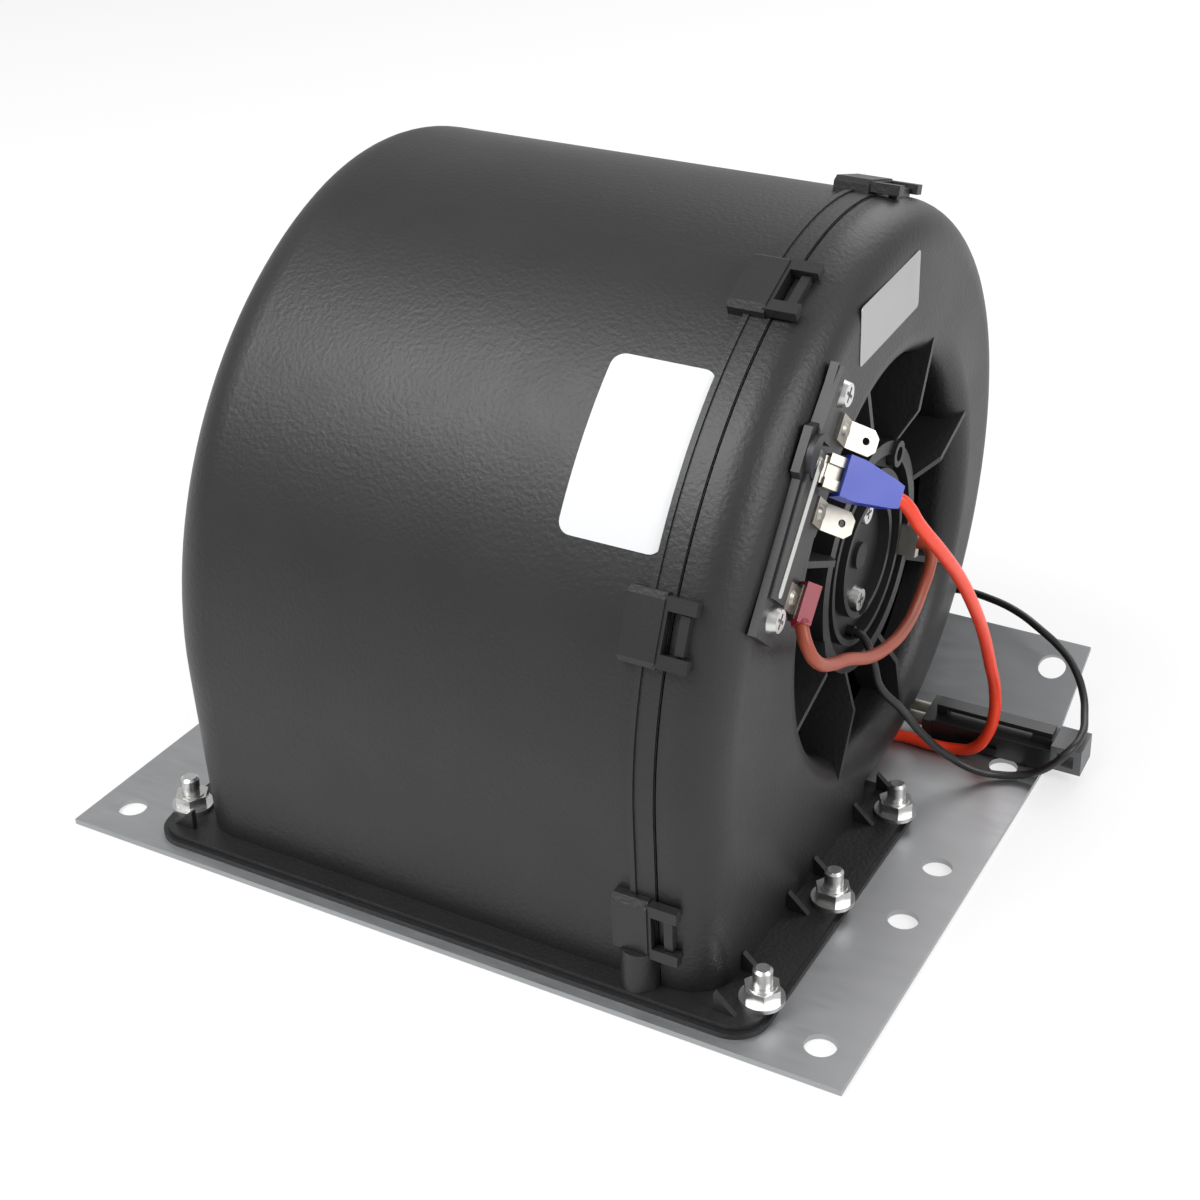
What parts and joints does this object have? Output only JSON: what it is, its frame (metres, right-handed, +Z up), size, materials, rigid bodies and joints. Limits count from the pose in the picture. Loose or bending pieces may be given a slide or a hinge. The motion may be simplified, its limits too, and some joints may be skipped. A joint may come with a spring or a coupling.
{
  "type": "dc blower fan",
  "caption": "Centrifugal DC blower: double-inlet plastic drum with clipped end cover, central motor, fan wheel and resistor strip, on a steel mounting plate.",
  "frame": {"origin": "underside of the mounting plate, below the middle of the object without its leads and connector", "axes": "+X along the motor shaft towards the end cover with the terminals, +Y from the plate's straight front edge to its bent-up rear edge, +Z up, away from the outlet"},
  "size_m": [0.2305, 0.1894, 0.1664],
  "materials": {
    "zinc_plate": "zinc plated, satin",
    "steel_stud": "bright",
    "steel_nut": "bright",
    "drum_plastic": "moulded, low sheen",
    "wheel_plastic": "moulded, matte",
    "hub_steel": "bright",
    "can_steel": "zinc plated",
    "magnet": "ferrite, matte",
    "lamination": "laminated steel",
    "copper": "copper",
    "brass_part": "brass",
    "carbon": "carbon",
    "cap_plastic": "moulded, matte",
    "grommet_rubber": "matte",
    "strip_plastic": "moulded, matte",
    "ceramic": "ceramic",
    "tin_terminal": "tin plated",
    "blue_plastic": "translucent sleeve",
    "red_plastic": "translucent sleeve",
    "red_insulation": "insulation",
    "brown_insulation": "insulation",
    "black_insulation": "insulation",
    "connector_plastic": "moulded",
    "lock_plastic": "moulded"
  },
  "bodies": {
    "blower_body": {"mounting_plate": "zinc_plate", "outlet_studs": "steel_stud", "flange_nuts": "steel_nut", "housing": "drum_plastic", "end_cover": "drum_plastic", "motor_can": "can_steel", "magnets": "magnet", "motor_end_cap": "cap_plastic", "brush_holders": "brass_part", "brushes": "carbon", "brush_springs": "steel_stud", "front_bearing": "hub_steel", "rear_bearing": "hub_steel", "motor_screws": "steel_stud", "motor_terminal": "tin_terminal", "motor_grommet": "grommet_rubber", "resistor_strip": "strip_plastic", "resistor_screws": "steel_stud", "resistor_elements": "ceramic", "terminal_tabs": "tin_terminal", "tab_rivets": "tin_terminal", "female_terminal": "tin_terminal", "blue_sleeve": "blue_plastic", "flag_terminal": "tin_terminal", "red_sleeve": "red_plastic", "lead_terminal": "tin_terminal", "red_wire": "red_insulation", "brown_wire": "brown_insulation", "black_wire": "black_insulation", "connector_housing": "connector_plastic", "connector_latch": "connector_plastic", "connector_lock": "lock_plastic", "crimp_contacts": "tin_terminal"},
    "rotor": {"impeller": "wheel_plastic", "impeller_hub": "hub_steel", "hub_rivets": "hub_steel", "hub_screw": "steel_stud", "motor_shaft": "hub_steel", "armature": "lamination", "armature_windings": "copper", "commutator": "copper"}
  },
  "joints": [
    {"name": "rotor_spin", "type": "hinge", "parent": "blower_body", "child": "rotor", "pos_m": [0, 0.01149, 0.0745], "axis": [1, 0, 0], "continuous": true}
  ]
}
